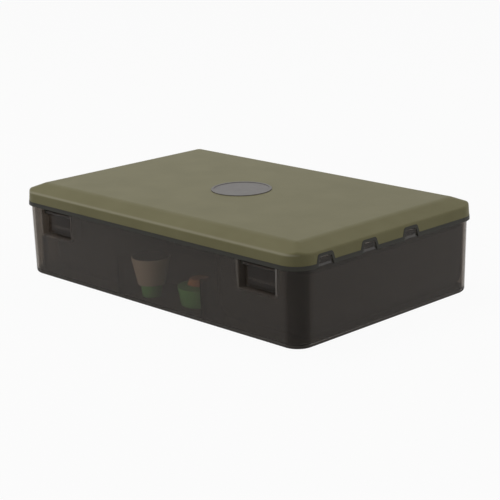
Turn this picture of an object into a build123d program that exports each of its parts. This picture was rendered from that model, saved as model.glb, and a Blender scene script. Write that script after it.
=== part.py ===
from build123d import *
import os
from math import radians, tan

# A flat tackle box: a smoked tub, an olive lid hinged along the back and two latches at the front.
# X runs along the long side, the front faces -Y and Z is up, with the origin on the ground in the middle.
# All sizes are in millimetres.

# Driving dimensions of the closed box, measured at the lower edge of the lid's skirt
length = 370.0
width = 238.6
height = 89.2
lid_depth = 16.6
lid_corner_radius = 20.0

# One overrun serves all cuts, and one overlap roots fused features in their walls
overrun = 5.0
root = 0.8

# Lid shell
lid_wall = 2.0
skirt_draft = 4.0
lid_rise = 7.5
lid_shoulder_radius = 3.0
border_width = 16.4
border_edge_radius = 12.0
rib_depth = 2.5
rib_thickness = 1.6
rib_spacing = 64.0
cross_rib_spacing = 82.0

# Badge on the lid
emblem_diameter = 57.0
emblem_thickness = 1.7
emblem_seat_depth = 1.0
emblem_gap = 0.2
emblem_rim = 2.2
emblem_dish = 0.4
emblem_backing = 1.2
emblem_backing_margin = 4.0

# Soft edge strip under the skirt, and the notches that it arches round
seal_height = 3.8
seal_proud = 0.2
seal_gap = 0.7
seal_band = 2.9
notch_height = 7.6
notch_top_width = 17.6
notch_low_width = 22.6
notch_radius = 3.2
notch_pitch_share = 0.229
notch_middle_share = -0.131
notch_count = 3

# Tub
tub_inset = 2.05
tub_wall = 2.4
tub_floor = 2.4
tub_draft = 1.0
tub_foot_radius = 4.0
rim_step = 1.1
rim_step_rise = 1.2
rim_gap = 0.6
rim_radius = 0.5
lug_gap = 0.35
lug_setback = 0.4
lug_ramp = 3.0

# Latch pockets in the front wall, open towards the rim
pocket_end = 50.2
pocket_width = 49.0
pocket_depth = 10.5
pocket_bevel_width = 2.8
pocket_bevel_depth = 1.0
pocket_corner_radius = 1.6

# Latches, hung from ears under the lid
latch_pin_drop = 4.6
latch_pin_depth = 6.0
latch_pin_radius = 1.0
latch_barrel_radius = 2.6
latch_plate = 2.2
latch_drop = 20.2
latch_lip = 1.0
latch_lip_thickness = 1.6
latch_foot_gap = 1.5
latch_bead_radius = 0.9
latch_bead_drop = 14.0
latch_edge_radius = 0.4
ear_thickness = 2.0
ear_radius = 2.2
ear_side_gap = 0.6
ear_step = 0.5
latch_side_gap = 0.4
pin_gap = 0.1

# Back hinges
hinge_end = 75.0
hinge_width = 60.0
hinge_lid_share = 0.48
hinge_pin_radius = 1.5
hinge_knuckle_radius = 3.2
hinge_gap = 0.6
hinge_side_gap = 0.4
hinge_drop = 5.4
hinge_web_drop = 15.0
hinge_leaf_rise = 8.0

# Loose walls that stand in the tub
divider_thickness = 2.0
divider_gap = 0.4
divider_headroom = 0.8
divider_foot_radius = 4.0
divider_top_radius = 3.0
divider_scoop_width = 34.0
divider_scoop_depth = 9.0
slot_rib_thickness = 1.5
slot_rib_proud = 3.0
slot_gap = 0.3
right_divider_x = 66.0
left_divider_x = -45.0
short_divider_setback = 61.0
short_divider_drop = 4.0

# Lift-out trays
tray_wall = 1.8
tray_gap = 0.4
tray_headroom = 6.4
tray_corner_radius = 14.0
tray_foot_radius = 18.0
tray_rim_width = 1.6
tray_rim_height = 2.4
tray_rim_drop = 1.2
tray_divider_thickness = 1.6
tray_divider_gap = 0.3
tray_divider_drop = 4.0
tray_slot_proud = 1.6
tray_divider_shares = (0.34, 0.67)

# Round pots in the front of the middle bay: a cup under a flared cap, and a squat jar
pot_wall = 1.5
pot_cap_gap = 0.2
pot_cap_wall = 1.6
pot_cap_ledge = 1.2
pot_edge_radius = 1.2
left_pot_clearance = 1.75
left_pot_top_diameter = 21.6
left_pot_foot_diameter = 17.0
left_pot_height = 17.0
left_pot_cap_diameter = 36.0
left_pot_cap_height = 25.6
left_pot_cap_lap = 5.0
right_pot_x = 26.4
right_pot_clearance = 3.5
right_pot_diameter = 40.0
right_pot_foot_diameter = 34.0
right_pot_shoulder = 16.6
right_pot_shoulder_rise = 1.5
right_pot_neck_diameter = 18.4
right_pot_height = 21.9
right_pot_cap_diameter = 17.0
right_pot_cap_height = 5.6
right_pot_cap_lap = 3.5

# Places that follow from the driving dimensions
lid_edge_z = height - lid_depth
lid_shoulder_z = height - lid_rise
seal_low_z = lid_edge_z - seal_height
notch_top_z = lid_edge_z + notch_height
notch_pitch = notch_pitch_share * width
notch_middle_y = notch_middle_share * width
rim_z = lid_shoulder_z - lid_wall - rim_gap
rim_step_z = seal_low_z + rim_step_rise
tub_half_width = width / 2 - tub_inset
tub_half_length = length / 2 - tub_inset
pocket_x = length / 2 - pocket_end
pocket_floor_y = pocket_depth - tub_half_width
pocket_inner_width = pocket_width - 2 * pocket_bevel_width
latch_pin_y = latch_pin_depth - tub_half_width
latch_pin_z = seal_low_z - latch_pin_drop
latch_width = pocket_inner_width - 2 * (ear_side_gap + ear_thickness + latch_side_gap)
pocket_low_z = latch_pin_z - latch_drop - latch_foot_gap
hinge_x = length / 2 - hinge_end
hinge_axis_y = width / 2 + hinge_gap + hinge_knuckle_radius
hinge_axis_z = lid_edge_z - hinge_drop
divider_top_z = pocket_low_z - tub_wall - divider_headroom
short_divider_y = short_divider_setback - tub_half_width
tray_top_z = seal_low_z - tray_headroom


def inset(sizes, amount):
    """Length, width and corner radius of a rounded outline, drawn in by an amount on every side."""
    return tuple(size - share * amount for size, share in zip(sizes, (2, 2, 1)))


def outline(z, sizes):
    """A rounded rectangle at a height."""
    return Plane.XY.offset(z) * RectangleRounded(*sizes)


def tapered(low_z, low_sizes, high_z, high_sizes):
    """A solid between two rounded outlines, with straight drafted sides."""
    return loft([outline(low_z, low_sizes), outline(high_z, high_sizes)], ruled=True)


def along_x(profile, low_x, high_x):
    """A profile drawn in Y and Z, carried along X."""
    return extrude(Plane.YZ.offset(low_x) * profile, amount=high_x - low_x)


def along_y(profile, low_y, high_y):
    """A profile drawn in X and Z, carried along Y."""
    return extrude(Plane.XZ.offset(-high_y) * profile, amount=high_y - low_y)


def block(low, high):
    """A box between two corners."""
    middle = [(a + b) / 2 for a, b in zip(low, high)]
    return Pos(*middle) * Box(*[b - a for a, b in zip(low, high)])


def both_sides(solid):
    """A solid and its mirror image across the middle of the length."""
    return solid + mirror(solid, about=Plane.YZ)


def skirt_outline(z, deeper=0):
    """The lid's outer outline at a height of the skirt."""
    return inset((length, width, lid_corner_radius), (z - lid_edge_z) * tan(radians(skirt_draft)) + deeper)


def tub_outline(z, deeper=0):
    """The tub's outer outline at a height of its drafted wall, below the rim's step."""
    drawn_in = (lid_edge_z - z) * tan(radians(tub_draft))
    return inset((length, width, lid_corner_radius), tub_inset + drawn_in + deeper)


def notch_profile(drawn_in, low_z):
    """The notch's outline in Y and Z about its own middle, drawn in all round."""
    slope = (notch_low_width - notch_top_width) / 2 / (notch_top_z - lid_edge_z)
    top_z = notch_top_z - drawn_in
    top_half = notch_top_width / 2 - drawn_in + (notch_top_z - top_z) * slope
    low_half = top_half + (top_z - low_z) * slope
    face = Polygon((-low_half, low_z), (low_half, low_z), (top_half, top_z), (-top_half, top_z), align=None)
    return fillet(face.vertices().group_by(Axis.Y)[-1], notch_radius - drawn_in / 2)


def notches(drawn_in, low_z):
    """Prisms of the notch's outline through the skirt of both short sides."""
    first_y = notch_middle_y - notch_pitch * (notch_count - 1) / 2
    prisms = [
        along_x(
            Pos(first_y + number * notch_pitch, 0) * notch_profile(drawn_in, low_z),
            tub_half_length - tub_wall,
            length / 2 + overrun,
        )
        for number in range(notch_count)
    ]
    return both_sides(Part() + prisms)


def pocket_profile(opening, low_z, radius):
    """A pocket's outline in X and Z, with round lower corners and its top above the rim."""
    face = Rectangle(opening, rim_z + overrun - low_z, align=(Align.CENTER, Align.MIN))
    return Pos(0, low_z) * fillet(face.vertices().group_by(Axis.Y)[0], radius)


def pocket_housing():
    """The tub's wall round one latch pocket."""
    opening = pocket_inner_width + 2 * tub_wall
    profile = pocket_profile(opening, pocket_low_z - tub_wall, pocket_corner_radius + tub_wall)
    return Pos(pocket_x, 0, 0) * along_y(profile, -width / 2, pocket_floor_y + tub_wall)


def pocket_space():
    """The recess of one latch pocket, with a mouth that is bevelled at its two sides."""
    deep = pocket_profile(pocket_inner_width, pocket_low_z, pocket_corner_radius)
    mouth = pocket_profile(pocket_width, pocket_low_z, pocket_corner_radius)
    bevel_foot = tub_half_width - pocket_bevel_depth
    faces = [Plane.XZ.offset(tub_half_width) * mouth, Plane.XZ.offset(bevel_foot) * deep]
    space = along_y(deep, -width / 2, pocket_floor_y) + loft(faces, ruled=True)
    return Pos(pocket_x, 0, 0) * (space + along_y(mouth, -width / 2, -tub_half_width))


def hinge_spans(share_low, share_high, gap):
    """The stretch of one hinge between two shares of its width, with a running gap."""
    low_x = hinge_x - hinge_width / 2
    return low_x + share_low * hinge_width + gap, low_x + share_high * hinge_width - gap


def knuckle_bore():
    """The hole for one hinge pin."""
    circle = Pos(hinge_axis_y, hinge_axis_z) * Circle(hinge_pin_radius + pin_gap)
    return along_x(circle, hinge_x - hinge_width, hinge_x + hinge_width)


def tub_knuckles():
    """The two outer knuckles of one hinge, on gussets from the back wall."""
    seat_y = tub_half_width - root - hinge_web_drop * tan(radians(tub_draft))
    top_z = hinge_axis_z - root
    web = Polygon(
        (seat_y, hinge_axis_z - hinge_web_drop),
        (hinge_axis_y + hinge_pin_radius, hinge_axis_z - hinge_pin_radius),
        (hinge_axis_y, top_z),
        (seat_y, top_z),
        align=None,
    )
    profile = web + Pos(hinge_axis_y, hinge_axis_z) * Circle(hinge_knuckle_radius)
    edge_share = (1 - hinge_lid_share) / 2
    near = along_x(profile, *hinge_spans(0, edge_share, 0))
    far = along_x(profile, *hinge_spans(1 - edge_share, 1, 0))
    return near + far - knuckle_bore()


def lid_knuckle():
    """The middle knuckle of one hinge, on a leaf down the lid's back skirt."""
    front_y = hinge_axis_y - hinge_knuckle_radius
    seat_y = width / 2 - lid_wall + root
    leaf = Polygon(
        (seat_y, lid_edge_z),
        (front_y, lid_edge_z),
        (front_y, hinge_axis_z),
        (hinge_axis_y + hinge_knuckle_radius, hinge_axis_z),
        (hinge_axis_y + hinge_pin_radius, lid_edge_z),
        (seat_y, lid_edge_z + hinge_leaf_rise),
        align=None,
    )
    profile = leaf + Pos(hinge_axis_y, hinge_axis_z) * Circle(hinge_knuckle_radius)
    edge_share = (1 - hinge_lid_share) / 2
    return along_x(profile, *hinge_spans(edge_share, 1 - edge_share, hinge_side_gap)) - knuckle_bore()


def hinge_pin():
    """A wire pin through one hinge."""
    circle = Pos(hinge_axis_y, hinge_axis_z) * Circle(hinge_pin_radius)
    return along_x(circle, *hinge_spans(0, 1, 0))


def divider_places():
    """Where the walls across the tub stand, from left to right."""
    tray_pitch = tray_width() + divider_thickness + 2 * tray_gap
    return left_divider_x - tray_pitch, left_divider_x, right_divider_x


def tray_width():
    """A tray's length along X, which fills the bay at the tub's right end."""
    wall_x = tub_outline(tub_floor, tub_wall)[0] / 2
    return wall_x - right_divider_x - divider_thickness / 2 - 2 * tray_gap


def slot_ribs():
    """Pairs of ribs inside the front and back walls that hold the walls across the tub."""
    ribs = []
    offset_x = divider_thickness / 2 + slot_gap + slot_rib_thickness / 2
    wall_y = tub_outline(tub_floor, tub_wall)[1] / 2
    for place in divider_places():
        for rib_x in (place - offset_x, place + offset_x):
            for side in (-1, 1):
                reach = sorted((side * (wall_y - slot_rib_proud), side * (wall_y + tub_wall / 2)))
                low = (rib_x - slot_rib_thickness / 2, reach[0], tub_floor - root)
                ribs.append(block(low, (rib_x + slot_rib_thickness / 2, reach[1], divider_top_z)))
    return ribs


def lugs():
    """Locating lugs on the short sides that stand up into the skirt's notches."""
    face_x = length / 2 - lug_setback
    foot_z = seal_low_z
    shoulder_z = foot_z + lug_ramp
    foot_x = tub_outline(foot_z)[0] / 2
    root_x = foot_x - rim_step - root
    ramp = Polygon(
        (root_x, foot_z), (foot_x, foot_z), (face_x, shoulder_z), (face_x, rim_z), (root_x, rim_z), align=None
    )
    ramps = both_sides(along_y(ramp, -width / 2, width / 2))
    return ramps & notches(seal_band + lug_gap, foot_z)


def base_tub():
    """The smoked tub: a drafted shell with latch pockets, lugs, hinge knuckles and divider slots."""
    outer = tapered(0, tub_outline(0), rim_step_z, tub_outline(rim_step_z))
    outer = fillet(outer.edges().group_by(Axis.Z)[0], tub_foot_radius)
    outer += tapered(rim_step_z, tub_outline(rim_step_z, rim_step), rim_z, tub_outline(rim_z, rim_step))
    inner = tapered(tub_floor, tub_outline(tub_floor, tub_wall), rim_z, tub_outline(rim_z, tub_wall))
    inner = fillet(inner.edges().group_by(Axis.Z)[0], tub_foot_radius - tub_wall / 2)
    shell = outer - inner
    shell = fillet(shell.edges().group_by(Axis.Z)[-1], rim_radius)
    shell += both_sides(pocket_housing() & outer)
    shell -= both_sides(pocket_space())
    shell += [rib & outer for rib in slot_ribs()]
    shell += lugs()
    return shell + both_sides(tub_knuckles())


def border_outline(z, deeper):
    """The sharp outline of the lid's sloped border, carried up or down along its slope."""
    middle = inset(skirt_outline(lid_shoulder_z), border_width)
    return inset(middle, (z - height + deeper) * border_width / lid_rise)


def lid_border(deeper, low_z):
    """The lid's flat middle and the four slopes that run down from it and meet at the corners."""
    high_z = height - deeper
    faces = [Plane.XY.offset(z) * Rectangle(*border_outline(z, deeper)[:2]) for z in (low_z, high_z)]
    return loft(faces, ruled=True)


def lid_skirt(deeper, low_z):
    """The lid's drafted skirt with its round corners, carried up to the lid's top."""
    return tapered(low_z, skirt_outline(low_z, deeper), height, skirt_outline(height, deeper))


def lid_ribs():
    """Stiffening ribs under the lid's flat middle."""
    reach_x = length / 2 - border_width - rib_spacing / 2
    reach_y = width / 2 - border_width - rib_spacing / 2
    low_z = height - lid_wall - rib_depth
    high_z = height - lid_wall / 2
    half = rib_thickness / 2
    ribs = []
    for y in (-rib_spacing, rib_spacing):
        ribs.append(block((-reach_x, y - half, low_z), (reach_x, y + half, high_z)))
    for number in (-1, 0, 1):
        x = number * cross_rib_spacing
        ribs.append(block((x - half, -reach_y, low_z), (x + half, reach_y, high_z)))
    return ribs


def latch_ears():
    """Two ears under the lid's front edge that carry one latch's pin."""
    roof_z = lid_shoulder_z - lid_wall / 2
    skirt_y = lid_wall - root - width / 2 + (lid_shoulder_z - lid_edge_z) * tan(radians(skirt_draft))
    step_z = lid_edge_z + ear_step
    front_y = latch_pin_y - ear_radius
    profile = Polygon(
        (skirt_y, roof_z),
        (skirt_y, step_z),
        (front_y, step_z),
        (front_y, latch_pin_z),
        (latch_pin_y + ear_radius, latch_pin_z),
        (latch_pin_y + ear_radius, roof_z),
        align=None,
    )
    profile += Pos(latch_pin_y, latch_pin_z) * Circle(ear_radius)
    profile -= Pos(latch_pin_y, latch_pin_z) * Circle(latch_pin_radius + pin_gap)
    inner_x = latch_width / 2 + latch_side_gap
    ears = [along_x(profile, side, side + ear_thickness) for side in (inner_x, -inner_x - ear_thickness)]
    return Pos(pocket_x, 0, 0) * (Part() + ears)


def lid_shell():
    """The olive lid: skirt, sloped border and flat middle, with notches, ears, knuckles and ribs."""
    border = lid_border(0, lid_edge_z)
    low_edges = border.edges().group_by(Axis.Z)[0]
    border = fillet([edge for edge in border.edges() if edge not in low_edges], border_edge_radius)
    outer = lid_skirt(0, lid_edge_z) & border
    shoulder = outer.edges().filter_by_position(Axis.Z, lid_shoulder_z - root, lid_shoulder_z + lid_rise / 2)
    outer = fillet(shoulder, lid_shoulder_radius)
    shell = outer - (lid_skirt(lid_wall, lid_edge_z - overrun) & lid_border(lid_wall, lid_edge_z - overrun))
    seat = Pos(0, 0, height) * Cylinder(
        emblem_diameter / 2 + emblem_gap, emblem_seat_depth, align=(Align.CENTER, Align.CENTER, Align.MAX)
    )
    backing = Pos(0, 0, height - lid_wall / 2) * Cylinder(
        emblem_diameter / 2 + emblem_backing_margin,
        lid_wall / 2 + emblem_backing,
        align=(Align.CENTER, Align.CENTER, Align.MAX),
    )
    shell += lid_ribs()
    shell += backing
    shell -= seat
    shell -= notches(0, lid_edge_z - overrun)
    shell += both_sides(latch_ears())
    return shell + both_sides(lid_knuckle())


def lid_seal():
    """The soft strip along the lid's lower edge, which fills the notches round the lugs."""
    low_outline = skirt_outline(seal_low_z, -seal_proud)
    outer = tapered(seal_low_z, low_outline, notch_top_z, skirt_outline(notch_top_z, -seal_proud))
    inner = extrude(outline(seal_low_z, tub_outline(lid_edge_z, -seal_gap)), amount=notch_top_z - seal_low_z)
    ring = outer - inner
    below = extrude(outline(seal_low_z, skirt_outline(seal_low_z, -overrun)), amount=seal_height)
    strip = ring & (below + notches(0, seal_low_z - overrun))
    strip = strip & (below + notches(0, lid_edge_z))
    return strip - notches(seal_band, seal_low_z - overrun)


def lid_emblem():
    """A plain round badge with a raised rim, seated in the lid."""
    low_z = height - emblem_seat_depth
    disc = Cylinder(emblem_diameter / 2, emblem_thickness, align=(Align.CENTER, Align.CENTER, Align.MIN))
    dish = Pos(0, 0, emblem_thickness - emblem_dish) * Cylinder(
        emblem_diameter / 2 - emblem_rim, emblem_dish, align=(Align.CENTER, Align.CENTER, Align.MIN)
    )
    return Pos(0, 0, low_z) * (disc - dish)


def latch():
    """One latch: a barrel round its pin, a flat plate and a thumb lip, with a snap bead behind."""
    back_y = latch_pin_y + latch_barrel_radius
    front_y = back_y - latch_plate
    low_z = latch_pin_z - latch_drop
    profile = Polygon(
        (back_y, latch_pin_z),
        (front_y, latch_pin_z),
        (front_y, low_z + latch_lip_thickness),
        (front_y - latch_lip, low_z + latch_lip_thickness),
        (front_y - latch_lip, low_z),
        (back_y, low_z),
        align=None,
    )
    profile = fillet(profile.vertices().group_by(Axis.Y)[0], latch_edge_radius)
    profile += Pos(latch_pin_y, latch_pin_z) * Circle(latch_barrel_radius)
    profile += Pos(back_y, latch_pin_z - latch_bead_drop) * Circle(latch_bead_radius)
    profile -= Pos(latch_pin_y, latch_pin_z) * Circle(latch_pin_radius + pin_gap)
    return Pos(pocket_x, 0, 0) * along_x(profile, -latch_width / 2, latch_width / 2)


def latch_pin():
    """A wire pin through one latch and its ears."""
    reach = latch_width / 2 + latch_side_gap + ear_thickness
    circle = Pos(latch_pin_y, latch_pin_z) * Circle(latch_pin_radius)
    return Pos(pocket_x, 0, 0) * along_x(circle, -reach, reach)


def cross_divider(x, rib_side):
    """A loose wall across the tub with a finger scoop, and slot ribs on one side for the short wall."""
    low_half = tub_outline(tub_floor, tub_wall + divider_gap)[1] / 2
    top_half = tub_outline(divider_top_z, tub_wall + divider_gap)[1] / 2
    face = Polygon(
        (-low_half, tub_floor),
        (low_half, tub_floor),
        (top_half, divider_top_z),
        (-top_half, divider_top_z),
        align=None,
    )
    face = fillet(face.vertices().group_by(Axis.Y)[0], divider_foot_radius)
    face = fillet(face.vertices().group_by(Axis.Y)[-1], divider_top_radius)
    scoop = SlotOverall(divider_scoop_width + 2 * divider_scoop_depth, 2 * divider_scoop_depth)
    face -= Pos(0, divider_top_z) * scoop
    wall = along_x(face, x - divider_thickness / 2, x + divider_thickness / 2)
    if rib_side:
        offset_y = divider_thickness / 2 + slot_gap + slot_rib_thickness / 2
        reach = sorted((x, x + rib_side * (divider_thickness / 2 + slot_rib_proud)))
        for rib_y in (short_divider_y - offset_y, short_divider_y + offset_y):
            low = (reach[0], rib_y - slot_rib_thickness / 2, tub_floor)
            wall += block(low, (reach[1], rib_y + slot_rib_thickness / 2, divider_top_z - short_divider_drop))
    return wall


def short_divider():
    """A loose wall between the two middle walls, behind the pots."""
    low_x = left_divider_x + divider_thickness / 2 + divider_gap
    high_x = right_divider_x - divider_thickness / 2 - divider_gap
    tall = divider_top_z - short_divider_drop - tub_floor
    face = Rectangle(high_x - low_x, tall, align=(Align.MIN, Align.MIN))
    face = fillet(face.vertices().group_by(Axis.Y)[-1], divider_top_radius)
    half = divider_thickness / 2
    return along_y(Pos(low_x, tub_floor) * face, short_divider_y - half, short_divider_y + half)


def tray_box():
    """A tray's lowest and highest corners, at the tub's right end."""
    low_x = right_divider_x + divider_thickness / 2 + tray_gap
    low_y = pocket_floor_y + tub_wall + tray_gap
    high_y = tub_outline(tub_floor, tub_wall)[1] / 2 - tray_gap
    return (low_x, low_y, tub_floor), (low_x + tray_width(), high_y, tray_top_z)


def tray_form(drawn_in, top_z):
    """A tray's outer form, or its inner form when drawn in by the wall."""
    low, high = tray_box()
    sizes = inset((high[0] - low[0], high[1] - low[1], tray_corner_radius), drawn_in)
    form = extrude(outline(low[2] + drawn_in, sizes), amount=top_z - low[2] - drawn_in)
    form = fillet(form.edges().group_by(Axis.Z)[0], tray_foot_radius - drawn_in)
    return Pos((low[0] + high[0]) / 2, (low[1] + high[1]) / 2, 0) * form


def tray_divider_places():
    """The places along Y of a tray's two loose walls."""
    low, high = tray_box()
    return [low[1] + share * (high[1] - low[1]) for share in tray_divider_shares]


def tray_divider(y):
    """A loose wall in a tray, which follows the tray's round bottom."""
    half = tray_divider_thickness / 2
    low, high = tray_box()
    sheet = block((low[0], y - half, low[2]), (high[0], y + half, tray_top_z - tray_divider_drop))
    return sheet & tray_form(tray_wall + tray_divider_gap, tray_top_z)


def tray():
    """A lift-out tray with round corners, a rim and slots for two loose walls."""
    low, high = tray_box()
    solid = tray_form(0, tray_top_z)
    middle = Pos((low[0] + high[0]) / 2, (low[1] + high[1]) / 2, 0)
    inside = tray_form(tray_wall, tray_top_z)
    solid -= inside
    rim_outer = inset((high[0] - low[0], high[1] - low[1], tray_corner_radius), tray_wall / 2)
    rim_inner = inset((high[0] - low[0], high[1] - low[1], tray_corner_radius), tray_wall + tray_rim_width)
    rim_low_z = tray_top_z - tray_rim_drop - tray_rim_height
    rim = extrude(outline(rim_low_z, rim_outer), amount=tray_rim_height)
    rim -= extrude(outline(rim_low_z, rim_inner), amount=tray_rim_height)
    offset_y = tray_divider_thickness / 2 + slot_gap + slot_rib_thickness / 2
    half = slot_rib_thickness / 2
    ribs = Part()
    for y in tray_divider_places():
        gap = block((low[0], y - offset_y, rim_low_z), (high[0], y + offset_y, tray_top_z))
        rim -= middle.inverse() * gap
        for rib_y in (y - offset_y, y + offset_y):
            ribs += block((low[0], rib_y - half, low[2]), (high[0], rib_y + half, rim_low_z))
    ribs = (ribs & tray_form(tray_wall / 2, tray_top_z)) - tray_form(tray_wall + tray_slot_proud, tray_top_z)
    return solid + middle * rim + ribs


def left_pot():
    """A small tapered cup, open at the top."""
    foot = left_pot_foot_diameter / 2
    top = left_pot_top_diameter / 2
    profile = Polygon(
        (0, 0),
        (foot, 0),
        (top, left_pot_height),
        (top - pot_wall, left_pot_height),
        (foot - pot_wall, pot_wall),
        (0, pot_wall),
        align=None,
    )
    return revolve(Plane.XZ * profile, Axis.Z)


def right_pot():
    """A squat jar with a shoulder and a narrow neck."""
    foot = right_pot_foot_diameter / 2
    widest = right_pot_diameter / 2
    neck = right_pot_neck_diameter / 2
    neck_low = right_pot_shoulder + right_pot_shoulder_rise
    profile = Polygon(
        (0, 0),
        (foot, 0),
        (widest, right_pot_shoulder),
        (neck, neck_low),
        (neck, right_pot_height),
        (neck - pot_wall, right_pot_height),
        (neck - pot_wall, neck_low - pot_wall),
        (widest - pot_wall, right_pot_shoulder - pot_wall),
        (foot - pot_wall, pot_wall),
        (0, pot_wall),
        align=None,
    )
    return revolve(Plane.XZ * profile, Axis.Z)


def pot_cap(rim_diameter, rim_z, cap_diameter, cap_height, lap):
    """A press-on cap that laps a pot's rim, with a ledge on the rim and sides that flare or draw in."""
    inner = rim_diameter / 2 + pot_cap_gap
    top = cap_diameter / 2
    low = rim_z - lap
    high = low + cap_height
    profile = Polygon(
        (inner, low),
        (inner + pot_cap_wall, low),
        (top, high),
        (0, high),
        (0, high - pot_cap_wall),
        (top - pot_cap_wall, high - pot_cap_wall),
        (inner - pot_cap_ledge, rim_z),
        (inner, rim_z),
        align=None,
    )
    profile = fillet(profile.vertices().group_by(Axis.Y)[-1].sort_by(Axis.X)[-1], pot_edge_radius)
    return revolve(Plane.XZ * profile, Axis.Z)


def pot_places():
    """Where the two pots stand: in the bay's front left corner, and before the short wall."""
    front_y = -tub_outline(tub_floor, tub_wall)[1] / 2
    reach = left_pot_cap_diameter / 2 + left_pot_clearance
    right_y = short_divider_y - divider_thickness / 2 - right_pot_clearance - right_pot_diameter / 2
    left = left_divider_x + divider_thickness / 2 + reach, front_y + reach, tub_floor
    return left, (right_pot_x, right_y, tub_floor)


def build():
    """Every piece by its node name."""
    tool_x, left_x, right_x = divider_places()
    to_left_bay = Pos(tool_x - right_x, 0, 0)
    nodes = {
        "base_tub": base_tub(),
        "lid_shell": lid_shell(),
        "lid_seal": lid_seal(),
        "lid_emblem": lid_emblem(),
        "hinge_pin_right": hinge_pin(),
        "hinge_pin_left": mirror(hinge_pin(), about=Plane.YZ),
        "latch_right": latch(),
        "latch_left": mirror(latch(), about=Plane.YZ),
        "latch_pin_right": latch_pin(),
        "latch_pin_left": mirror(latch_pin(), about=Plane.YZ),
        "tool_divider": cross_divider(tool_x, 0),
        "left_divider": cross_divider(left_x, 1),
        "right_divider": cross_divider(right_x, -1),
        "short_divider": short_divider(),
        "tray_right": tray(),
        "tray_left": to_left_bay * tray(),
    }
    for place, y in zip(("front", "back"), tray_divider_places()):
        nodes["tray_right_divider_" + place] = tray_divider(y)
        nodes["tray_left_divider_" + place] = to_left_bay * tray_divider(y)
    left_place, right_place = [Pos(*place) for place in pot_places()]
    nodes["pot_left"] = left_place * left_pot()
    nodes["pot_left_cap"] = left_place * pot_cap(
        left_pot_top_diameter,
        left_pot_height,
        left_pot_cap_diameter,
        left_pot_cap_height,
        left_pot_cap_lap,
    )
    nodes["pot_right"] = right_place * right_pot()
    nodes["pot_right_cap"] = right_place * pot_cap(
        right_pot_neck_diameter,
        right_pot_height,
        right_pot_cap_diameter,
        right_pot_cap_height,
        right_pot_cap_lap,
    )
    return nodes


os.makedirs("parts", exist_ok=True)
for node_name, node_solid in build().items():
    export_step(node_solid, os.path.join("parts", node_name + ".step"))
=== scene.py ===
from math import cos, radians, sin

import bpy
from mathutils import Matrix, Vector

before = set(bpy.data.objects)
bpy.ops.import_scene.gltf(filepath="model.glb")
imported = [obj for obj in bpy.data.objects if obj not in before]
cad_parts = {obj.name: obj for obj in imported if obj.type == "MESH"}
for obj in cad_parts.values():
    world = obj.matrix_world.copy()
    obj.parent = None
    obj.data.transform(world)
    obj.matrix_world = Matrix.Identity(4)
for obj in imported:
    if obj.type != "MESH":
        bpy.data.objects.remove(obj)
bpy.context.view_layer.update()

MM = 0.001

# Camera of the photograph, fitted to the box's straight edges in the 500 pixel frame
FRAME_PIXELS = 500
FOCAL_PIXELS = 1481.9
SENSOR_MM = 36.0
AZIMUTH = 45.51
ELEVATION = 15.65
ROLL = -1.37
TARGET = (9.4 * MM, 0.0, 31.5 * MM)
DISTANCE = 1398.3 * MM

# Where the tub's floor plate ends and the lid's skirt begins, and how level a flat top is; these bound the
# painted shade on the foot, the latch ears and the cap top
FLOOR_PLATE_TOP = 5.0 * MM
LID_EDGE = 72.5 * MM
LEVEL_SHARE = 0.9

# The lid's rounded front shoulder, along which a highlight is painted
SHOULDER_HEIGHT = 81.6 * MM
SHOULDER_REACH = 1.3 * MM
FRONT_SHOULDER = -117.5 * MM
FRONT_REACH = 7.0 * MM

# Reach of the latch pockets in the tub's front wall
POCKET_NEAR = 110.0 * MM
POCKET_FAR = 159.6 * MM
POCKET_MOUTH = -117.2 * MM
POCKET_BACK = -106.0 * MM
POCKET_LOW = 40.0 * MM

# Where the tub's four upright corners begin, and how far a face there is turned from both walls, for the
# painted shade on the corners
CORNER_ACROSS = 160.0 * MM
CORNER_ALONG = 95.0 * MM
TURNED_SHARE = 0.15

# Studio
FLOOR_SIZE = 8.0
FLOOR_HEX = "#b0b0ae"
BACKDROP_HEX = "#ffffff"
WHITE_STRENGTH = 1.0
WORLD_LAMP_STRENGTH = 0.3
FLOOR_GLOW_SHARE = 0.95
LAMP_AIM = (0.0, 0.0, 0.05)

# Grain sizes of the finishes in mm
HAZE_GRAIN = 14.0
CLOUD_GRAIN = 45.0
WIRE_GRAIN = 0.6
# Real spark texture is about 0.2 mm, too fine to show, so it is drawn coarser
SPARK_GRAIN = 0.9
SPARK_DEPTH = 0.1 * MM


def linear(hex_colour, alpha=1.0):
    """An sRGB hex colour as linear red, green, blue and alpha."""
    parts = [int(hex_colour[i:i + 2], 16) / 255 for i in (1, 3, 5)]
    return [c / 12.92 if c <= 0.04045 else ((c + 0.055) / 1.055) ** 2.4 for c in parts] + [alpha]


def node(tree, kind, settings=None, inputs=None):
    """Adds a shader node. Inputs hold values, or sockets of other nodes to link."""
    made = tree.nodes.new(kind)
    for name, value in (settings or {}).items():
        setattr(made, name, value)
    for name, value in (inputs or {}).items():
        if isinstance(value, bpy.types.NodeSocket):
            tree.links.new(value, made.inputs[name])
        else:
            made.inputs[name].default_value = value
    return made


def new_material(name):
    """An empty node material and its shader tree."""
    material = bpy.data.materials.new(name)
    material.use_nodes = True
    material.node_tree.nodes.clear()
    return material, material.node_tree


def finish_material(tree, shader):
    """Links a shader to the material's output."""
    node(tree, "ShaderNodeOutputMaterial", inputs={"Surface": shader.outputs[0]})


def speckle(tree, grain_mm, detail=2.0):
    """A noise whose grains are a real size apart, in object coordinates."""
    place = node(tree, "ShaderNodeTexCoord")
    return node(tree, "ShaderNodeTexNoise", {"noise_dimensions": "3D"}, {
        "Vector": place.outputs["Object"], "Scale": 1 / (grain_mm * MM), "Detail": detail, "Roughness": 0.55,
    })


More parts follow.
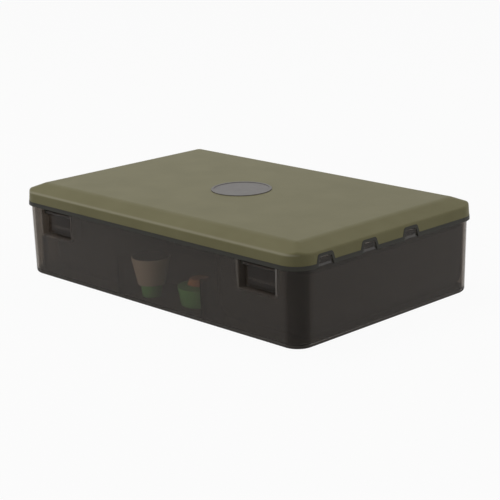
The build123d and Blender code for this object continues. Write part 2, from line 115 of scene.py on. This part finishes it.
def ramp(tree, value, low, high, low_colour, high_colour):
    """Spreads a value between two limits over two colours."""
    made = node(tree, "ShaderNodeValToRGB", inputs={"Fac": value})
    made.color_ramp.elements[0].position = low
    made.color_ramp.elements[0].color = low_colour
    made.color_ramp.elements[1].position = high
    made.color_ramp.elements[1].color = high_colour
    return made


def nearness(tree, value, centre, reach):
    """1 where a value is at a centre, falling to 0 at a reach from it."""
    offset = node(tree, "ShaderNodeMath", {"operation": "SUBTRACT"}, {0: value, 1: centre})
    away = node(tree, "ShaderNodeMath", {"operation": "ABSOLUTE"}, {0: offset.outputs[0]})
    return node(tree, "ShaderNodeMapRange", inputs={
        "Value": away.outputs[0], "From Max": reach, "To Min": 1.0, "To Max": 0.0,
    }).outputs[0]


def mixed(tree, share, first, second):
    """Two shaders, the second with a share of the whole."""
    return node(tree, "ShaderNodeMixShader", inputs={
        "Fac": share, 1: first.outputs[0], 2: second.outputs[0],
    })


def smoked_polypropylene(name, tint_hex, lamp_hex, clear_share=0.895):
    """Smoked polypropylene, injection moulded: dark see-through brown-grey, soft gloss, slight haze.

    Lamps shine through it in a colour of their own, so that the things behind it are lit.
    Its IOR is below the usual 1.49, because its walls mirror little of the white floor in the photograph.
    """
    material, tree = new_material(name)
    haze = speckle(tree, HAZE_GRAIN)
    rough = node(tree, "ShaderNodeMapRange", inputs={
        "Value": haze.outputs["Fac"], "To Min": 0.1, "To Max": 0.14,
    })
    shader = node(tree, "ShaderNodeBsdfPrincipled", inputs={
        "Base Color": linear(tint_hex), "Roughness": rough.outputs[0], "IOR": 1.2,
        "Transmission Weight": clear_share, "Specular IOR Level": 0.3,
    })
    clear = node(tree, "ShaderNodeBsdfTransparent", inputs={"Color": linear(lamp_hex)})
    path = node(tree, "ShaderNodeLightPath")
    finish_material(tree, mixed(tree, path.outputs["Is Shadow Ray"], shader, clear))
    return material


def olive_polypropylene():
    """Olive polypropylene, injection moulded with a fine spark texture: matt, with a faint broad sheen.

    A pale line is painted along the lid's front shoulder: a painted highlight where its round edge catches
    light.
    """
    material, tree = new_material("olive_polypropylene_with_painted_highlight")
    cloud = speckle(tree, CLOUD_GRAIN)
    tone = ramp(tree, cloud.outputs["Fac"], 0.3, 0.7, linear("#6b674a"), linear("#716d50"))
    place = node(tree, "ShaderNodeTexCoord")
    axes = node(tree, "ShaderNodeSeparateXYZ", inputs={"Vector": place.outputs["Object"]}).outputs
    # Pale line along the front shoulder: a painted highlight
    at_height = nearness(tree, axes["Z"], SHOULDER_HEIGHT, SHOULDER_REACH)
    at_front = nearness(tree, axes["Y"], FRONT_SHOULDER, FRONT_REACH)
    painted_highlight = node(tree, "ShaderNodeMath", {"operation": "MULTIPLY"}, {0: at_height, 1: at_front})
    colour = node(tree, "ShaderNodeMixRGB", inputs={
        "Fac": painted_highlight.outputs[0], "Color1": tone.outputs[0], "Color2": linear("#8c8873"),
    })
    grain = speckle(tree, SPARK_GRAIN, 3.0)
    bump = node(tree, "ShaderNodeBump", inputs={
        "Height": grain.outputs["Fac"], "Strength": 0.12, "Distance": SPARK_DEPTH,
    })
    shader = node(tree, "ShaderNodeBsdfPrincipled", inputs={
        "Base Color": colour.outputs[0], "Roughness": 0.5, "IOR": 1.49, "Specular IOR Level": 0.12,
        "Normal": bump.outputs[0],
    })
    finish_material(tree, shader)
    return material


def plain_plastic(name, dark_hex, light_hex, roughness, grain_mm, sheen=0.5):
    """A moulded plastic with a slight change of tone over its surface."""
    material, tree = new_material(name)
    cloud = speckle(tree, grain_mm)
    tone = ramp(tree, cloud.outputs["Fac"], 0.3, 0.7, linear(dark_hex), linear(light_hex))
    shader = node(tree, "ShaderNodeBsdfPrincipled", inputs={
        "Base Color": tone.outputs[0], "Roughness": roughness, "IOR": 1.49, "Specular IOR Level": sheen,
    })
    finish_material(tree, shader)
    return material


def stainless_wire():
    """Drawn stainless wire: bright metal whose gloss is slightly uneven."""
    material, tree = new_material("stainless_wire_drawn")
    wear = speckle(tree, WIRE_GRAIN)
    rough = node(tree, "ShaderNodeMapRange", inputs={
        "Value": wear.outputs["Fac"], "To Min": 0.2, "To Max": 0.4,
    })
    shader = node(tree, "ShaderNodeBsdfPrincipled", inputs={
        "Base Color": linear("#c4c4c2"), "Metallic": 1.0, "Roughness": rough.outputs[0],
    })
    finish_material(tree, shader)
    return material


def dress(material, *names):
    """Gives CAD nodes a material."""
    for name in names:
        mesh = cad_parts[name].data
        mesh.materials.clear()
        mesh.materials.append(material)


def dress_faces(name, material, chosen):
    """Gives those faces of a CAD node that pass a test a material of their own."""
    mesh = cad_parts[name].data
    mesh.materials.append(material)
    for face in mesh.polygons:
        if chosen(face):
            face.material_index = len(mesh.materials) - 1


def on_painted_shade_floor_plate(face):
    """True for the tub's floor plate and foot, dressed dark and opaque: painted shade for the box's contact
    shadow, added to the darkening where sight runs lengthwise through them.
    """
    return face.center.z < FLOOR_PLATE_TOP


def on_painted_shade_corner(face):
    """True for the tub's upright corners, dressed in a darker tint as painted shade, added to the darkening
    where sight runs a longer way through the curved wall.
    """
    at_corner = abs(face.center.x) > CORNER_ACROSS and abs(face.center.y) > CORNER_ALONG
    return at_corner and min(abs(face.normal.x), abs(face.normal.y)) > TURNED_SHARE


def in_pocket(face):
    """True for the walls of the latch pockets, dressed hazier because the photograph shows them paler."""
    across, along, up = abs(face.center.x), face.center.y, face.center.z
    return POCKET_NEAR < across < POCKET_FAR and POCKET_MOUTH < along < POCKET_BACK and up > POCKET_LOW


def on_painted_shade_cap_top(face):
    """True for the flat top of the left pot's cap, dressed black: painted shade under the lid."""
    return face.normal.z > LEVEL_SHARE


def on_painted_shade_latch_ear(face):
    """True for the lid's ears in the pockets, olive lid plastic dressed near black as painted shade inside
    the pockets.
    """
    return face.center.z < LID_EDGE and face.center.y < 0


def dress_tub():
    """The tub's smoked plastic, with painted shade on its corners and foot, and hazier pocket walls."""
    smoked = smoked_polypropylene("smoked_polypropylene_moulded", "#8f877f", "#fbf8f5")
    dress(smoked, "base_tub")
    # The upright corners get a darker tint: painted shade
    corner = smoked_polypropylene("smoked_polypropylene_corner_painted_shade", "#7a726a", "#fbf8f5")
    dress_faces("base_tub", corner, on_painted_shade_corner)
    # The floor plate and foot get a dark opaque plastic: painted contact shadow
    foot = plain_plastic("smoked_polypropylene_foot_painted_shade", "#4a4642", "#504c48", 0.6, 14.0, 0.05)
    dress_faces("base_tub", foot, on_painted_shade_floor_plate)
    frosted = smoked_polypropylene("smoked_polypropylene_frosted", "#8f877f", "#fbf8f5", 0.6)
    dress_faces("base_tub", frosted, in_pocket)


def dress_pieces():
    """Every other piece of the box gets its finish."""
    # Dark smoked polypropylene: see-through only against the light
    dark_smoked = smoked_polypropylene("dark_smoked_polypropylene_moulded", "#766d65", "#3a342f")
    dress(dark_smoked, "latch_left", "latch_right",
          "tool_divider", "left_divider", "right_divider", "short_divider")
    dress(olive_polypropylene(), "lid_shell")
    # Soft thermoplastic rubber, moulded: near black, dull
    rubber = plain_plastic("soft_rubber_moulded", "#1c1b15", "#232219", 0.6, 12.0, 0.38)
    dress(rubber, "lid_seal")
    # The lid's ears in the pockets get the near-black rubber: painted shade
    dress_faces("lid_shell", rubber, on_painted_shade_latch_ear)
    # ABS, moulded: even mid grey with a satin gloss
    badge = plain_plastic("grey_abs_moulded", "#575351", "#5f5c59", 0.5, 8.0)
    dress(badge, "lid_emblem")
    dress(stainless_wire(), "hinge_pin_left", "hinge_pin_right", "latch_pin_left", "latch_pin_right")
    # Black polypropylene, moulded: satin, so dark that its forms hardly show
    black = plain_plastic("black_polypropylene_moulded", "#141414", "#1b1b1a", 0.5, 20.0)
    dress(black, "tray_left", "tray_left_divider_front", "tray_left_divider_back",
          "tray_right", "tray_right_divider_front", "tray_right_divider_back")
    # Coloured polypropylene, moulded: glossy, paler than it looks through the smoked wall
    green = plain_plastic("green_polypropylene_moulded", "#94ec8c", "#a0f498", 0.35, 10.0)
    dress(green, "pot_left", "pot_right")
    cream = plain_plastic("cream_polypropylene_moulded", "#eee3d4", "#f4eadd", 0.4, 10.0)
    dress(cream, "pot_left_cap")
    # The cap's flat top gets the black plastic: painted shade
    dress_faces("pot_left_cap", black, on_painted_shade_cap_top)
    orange = plain_plastic("orange_polypropylene_moulded", "#f0a468", "#f4ae74", 0.35, 10.0)
    dress(orange, "pot_right_cap")


def seen_ray(tree):
    """1 for the rays that show the background: the camera's own, and those off gloss and through plastic."""
    path = node(tree, "ShaderNodeLightPath").outputs
    mirrored = node(tree, "ShaderNodeMath", {"operation": "MAXIMUM"}, {
        0: path["Is Camera Ray"], 1: path["Is Glossy Ray"],
    })
    return node(tree, "ShaderNodeMath", {"operation": "MAXIMUM"}, {
        0: mirrored.outputs[0], 1: path["Is Transmission Ray"],
    }).outputs[0]


def floor():
    """A plain pale floor that stays near white and keeps the box's shadow."""
    bpy.ops.mesh.primitive_plane_add(size=FLOOR_SIZE)
    plane = bpy.context.object
    plane.name = "studio_floor"
    material, tree = new_material("floor_paper")
    matt = node(tree, "ShaderNodeBsdfDiffuse", inputs={"Color": linear(FLOOR_HEX)})
    glow = node(tree, "ShaderNodeEmission", inputs={
        "Color": linear(BACKDROP_HEX), "Strength": WHITE_STRENGTH,
    })
    share = node(tree, "ShaderNodeMapRange", inputs={"Value": seen_ray(tree), "To Max": FLOOR_GLOW_SHARE})
    finish_material(tree, mixed(tree, share.outputs[0], matt, glow))
    plane.data.materials.append(material)


def backdrop():
    """A white world, dimmer as a lamp than it looks."""
    world = bpy.data.worlds.new("studio_backdrop")
    bpy.context.scene.world = world
    world.use_nodes = True
    tree = world.node_tree
    tree.nodes.clear()
    strength = node(tree, "ShaderNodeMapRange", inputs={
        "Value": seen_ray(tree),
        "To Min": WORLD_LAMP_STRENGTH,
        "To Max": WHITE_STRENGTH,
    })
    sky = node(tree, "ShaderNodeBackground", inputs={
        "Color": linear(BACKDROP_HEX), "Strength": strength.outputs[0],
    })
    node(tree, "ShaderNodeOutputWorld", inputs={"Surface": sky.outputs[0]})


def softbox(name, place, aim, size, power):
    """A large soft lamp."""
    lamp = bpy.data.lights.new(name, "AREA")
    lamp.shape = "RECTANGLE"
    lamp.size, lamp.size_y = size
    lamp.energy = power
    holder = bpy.data.objects.new(name, lamp)
    holder.location = place
    holder.rotation_euler = (Vector(aim) - Vector(place)).to_track_quat("-Z", "Y").to_euler()
    holder.visible_transmission = False
    holder.visible_glossy = False
    bpy.context.collection.objects.link(holder)


def lamps():
    """One soft lamp overhead, and one at each side of the camera's line."""
    softbox("overhead_softbox", (-0.7, -0.2, 1.8), LAMP_AIM, (1.4, 1.2), 18.5)
    softbox("left_softbox", (-0.6, -1.75, 0.4), LAMP_AIM, (1.2, 0.7), 7.2)
    softbox("right_softbox", (1.4, 1.2, 0.4), LAMP_AIM, (1.2, 0.7), 9.8)


def camera():
    """The camera at the photograph's place."""
    azimuth, elevation, roll = radians(AZIMUTH), radians(ELEVATION), radians(ROLL)
    back = Vector((sin(azimuth) * cos(elevation), -cos(azimuth) * cos(elevation), sin(elevation)))
    level = Vector((0, 0, 1)).cross(back).normalized()
    upright = back.cross(level)
    right = level * cos(roll) + upright * sin(roll)
    up = upright * cos(roll) - level * sin(roll)
    lens = bpy.data.cameras.new("photo_camera")
    lens.sensor_width = SENSOR_MM
    lens.lens = SENSOR_MM * FOCAL_PIXELS / FRAME_PIXELS
    holder = bpy.data.objects.new("photo_camera", lens)
    turn = Matrix((right, up, back)).transposed().to_4x4()
    holder.matrix_world = Matrix.Translation(Vector(TARGET) + back * DISTANCE) @ turn
    bpy.context.collection.objects.link(holder)
    bpy.context.scene.camera = holder


camera()
dress_tub()
dress_pieces()
floor()
backdrop()
lamps()
bpy.context.scene.view_settings.view_transform = "Standard"
